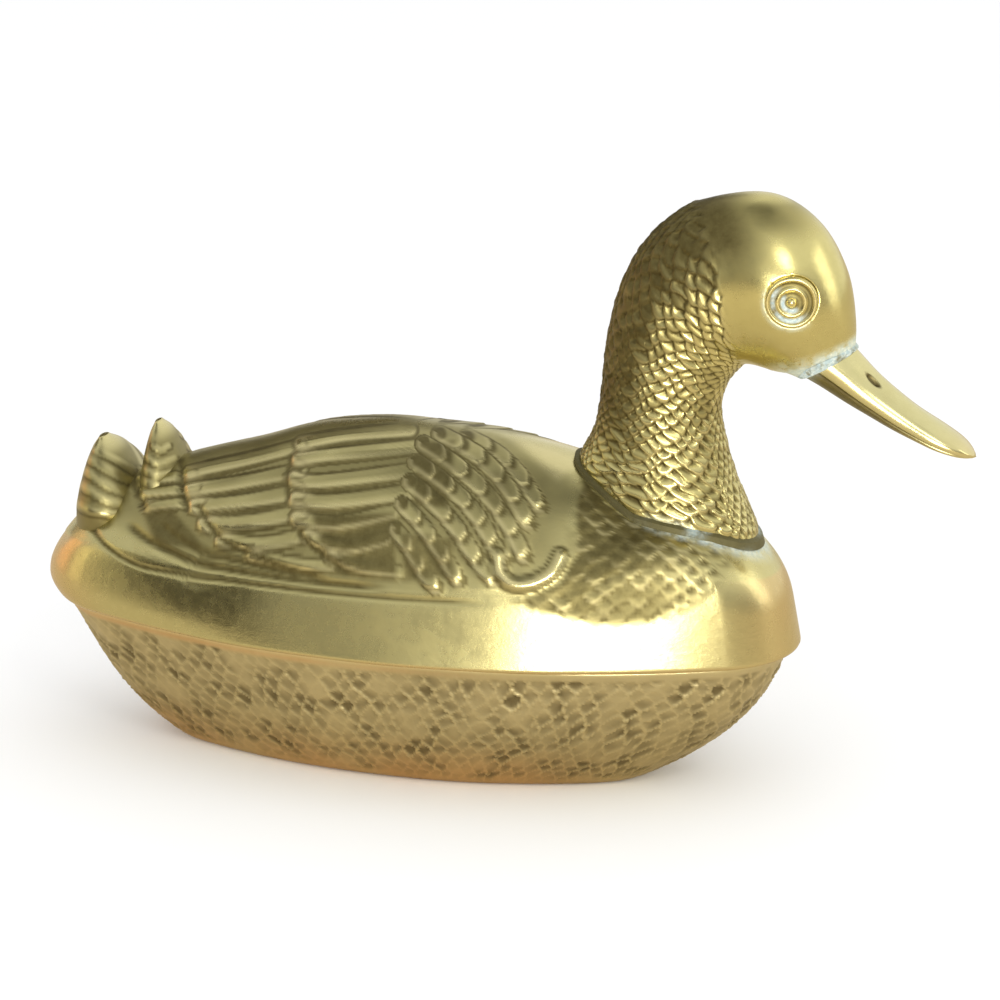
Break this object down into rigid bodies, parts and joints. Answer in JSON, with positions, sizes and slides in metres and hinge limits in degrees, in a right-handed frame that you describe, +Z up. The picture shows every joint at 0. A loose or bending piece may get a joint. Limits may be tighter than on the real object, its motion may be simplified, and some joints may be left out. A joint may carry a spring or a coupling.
{
  "type": "lidded duck box",
  "caption": "Cast brass duck figure made as a box: a boat-shaped bowl with a lift-off feathered lid that carries the neck, head and bill.",
  "frame": {"origin": "in the bowl's flat foot, on the duck's middle plane, under its widest section", "axes": "+X towards the bill, +Y to the duck's left, +Z up"},
  "size_m": [0.1987, 0.068, 0.1263],
  "materials": {
    "bowl_brass": "aged cast brass, chased with a net of scales, satin",
    "lid_brass": "aged brass, buffed belt and darkened feather chasing",
    "head_brass": "buffed brass head, chased and darkened neck scales",
    "bill_brass": "polished brass",
    "eye_brass": "turned rings, pale polish residue in the grooves",
    "brazing": "dull brazing bead with pale green and white residue"
  },
  "bodies": {
    "bowl": {"bowl": "bowl_brass"},
    "lid": {"lid_shell": "lid_brass", "neck_and_head": "head_brass", "bill": "bill_brass", "right_eye": "eye_brass", "left_eye": "eye_brass", "neck_solder": "brazing", "bill_solder": "brazing"}
  },
  "joints": [
    {"name": "lid_lift", "type": "slide", "parent": "bowl", "child": "lid", "axis": [0, 0, 1], "range_m": [0, 0.07]}
  ]
}
